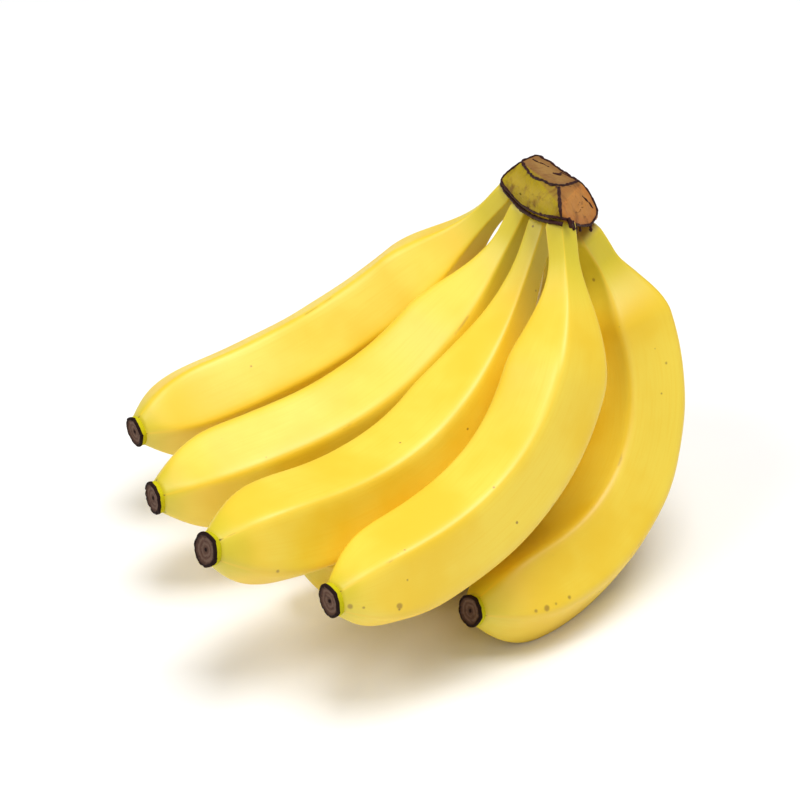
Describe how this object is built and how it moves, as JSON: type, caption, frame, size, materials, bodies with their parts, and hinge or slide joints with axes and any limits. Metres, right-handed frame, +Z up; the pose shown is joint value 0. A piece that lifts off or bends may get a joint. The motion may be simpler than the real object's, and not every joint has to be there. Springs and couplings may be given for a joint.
{
  "type": "banana bunch",
  "caption": "Hand of ripe bananas on one dried crown, the curved fingers fanned out to one side and resting on the bellies of the back row.",
  "frame": {"origin": "on the floor, under the middle of the bunch's box in plan", "axes": "+Z up, -Y towards the viewer of the picture, +X to the viewer's right; the finger ends point towards -X and -Y"},
  "size_m": [0.2176, 0.2014, 0.147],
  "materials": {
    "peel": "satin ripe banana peel",
    "flower_end": "dry, matt, near-black brown",
    "crown_skin": "dried, matt, olive to brown"
  },
  "bodies": {
    "root": {"banana_1": "peel", "banana_2": "peel", "banana_3": "peel", "banana_4": "peel", "banana_5": "peel", "banana_6": "peel", "banana_7": "peel", "tip_1": "flower_end", "tip_2": "flower_end", "tip_3": "flower_end", "tip_4": "flower_end", "tip_5": "flower_end", "tip_6": "flower_end", "tip_7": "flower_end", "crown": "crown_skin"}
  },
  "joints": []
}
